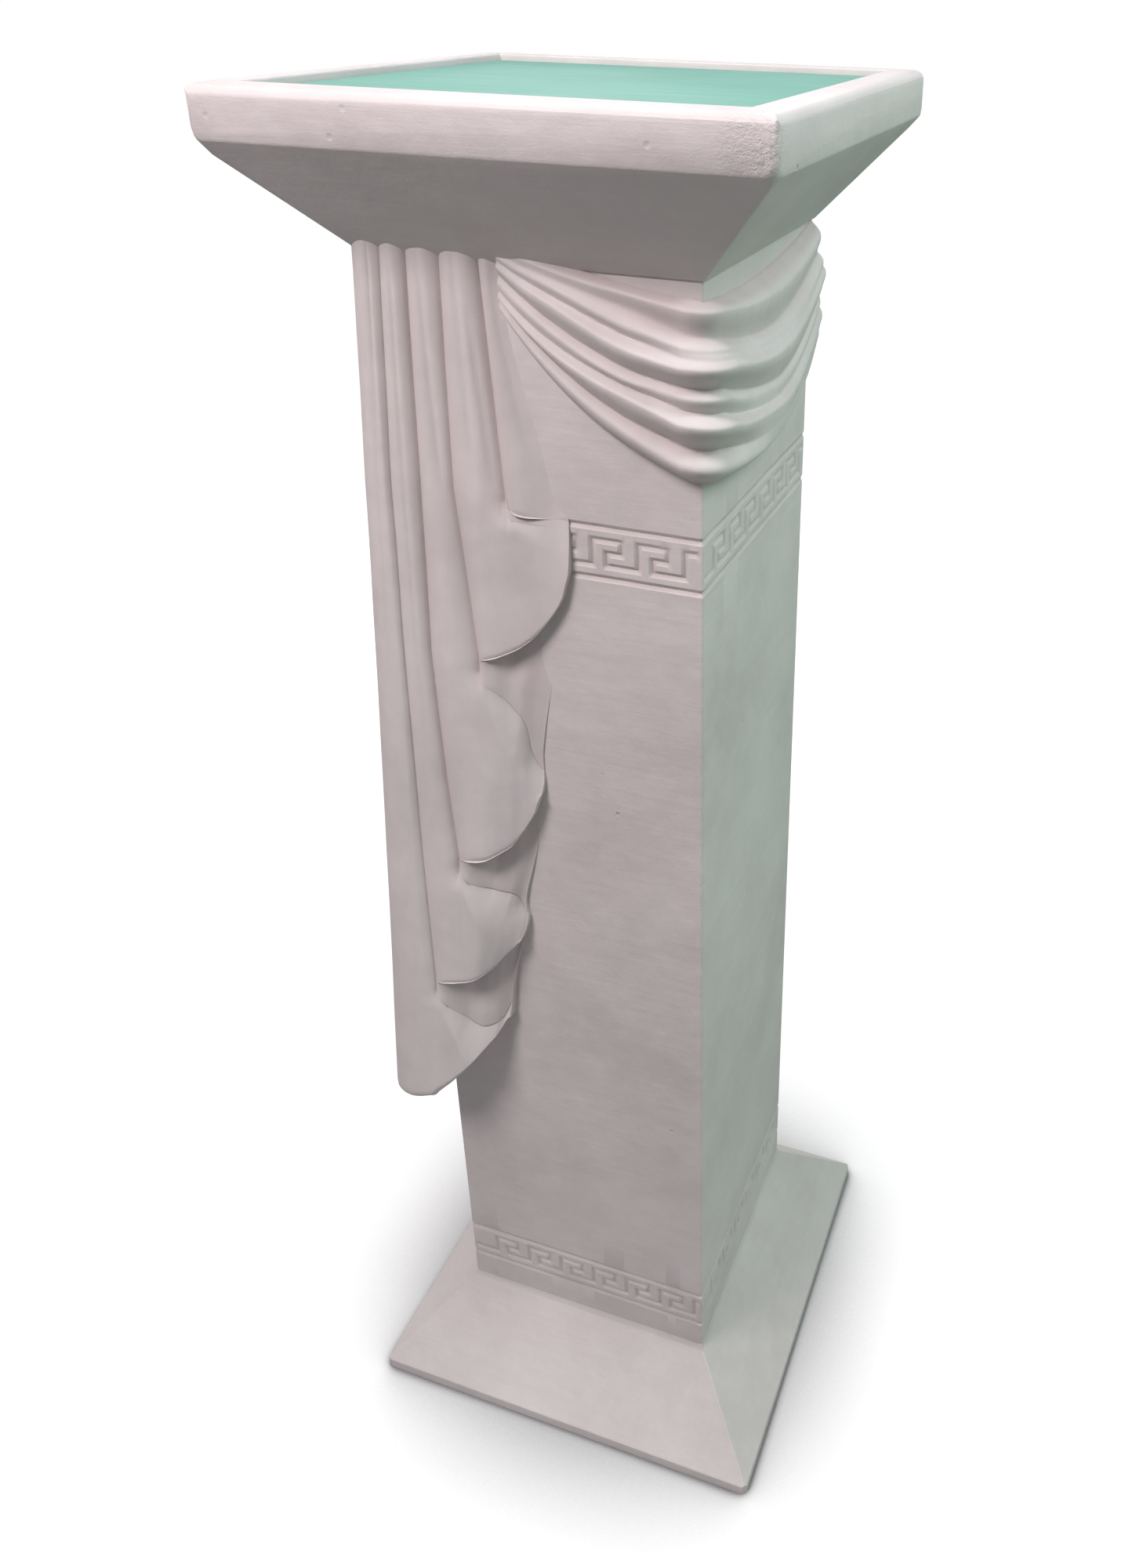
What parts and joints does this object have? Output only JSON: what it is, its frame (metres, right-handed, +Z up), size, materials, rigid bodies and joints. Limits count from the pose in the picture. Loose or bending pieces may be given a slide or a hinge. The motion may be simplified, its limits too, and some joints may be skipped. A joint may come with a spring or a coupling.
{
  "type": "pedestal column",
  "caption": "Square plaster pedestal with a sloping base, flared top slab with an inset panel, a cloth cascade and swag in relief, and key pattern bands.",
  "frame": {"origin": "centre of the underside of the base", "axes": "+Z up to the top slab, -Y out of the front face with the cascade at its left, +X out of the right face"},
  "size_m": [0.316, 0.316, 1],
  "materials": {
    "plaster": "matte",
    "panel": "satin"
  },
  "bodies": {
    "root": {"pedestal": "plaster", "top_panel": "panel"}
  },
  "joints": []
}
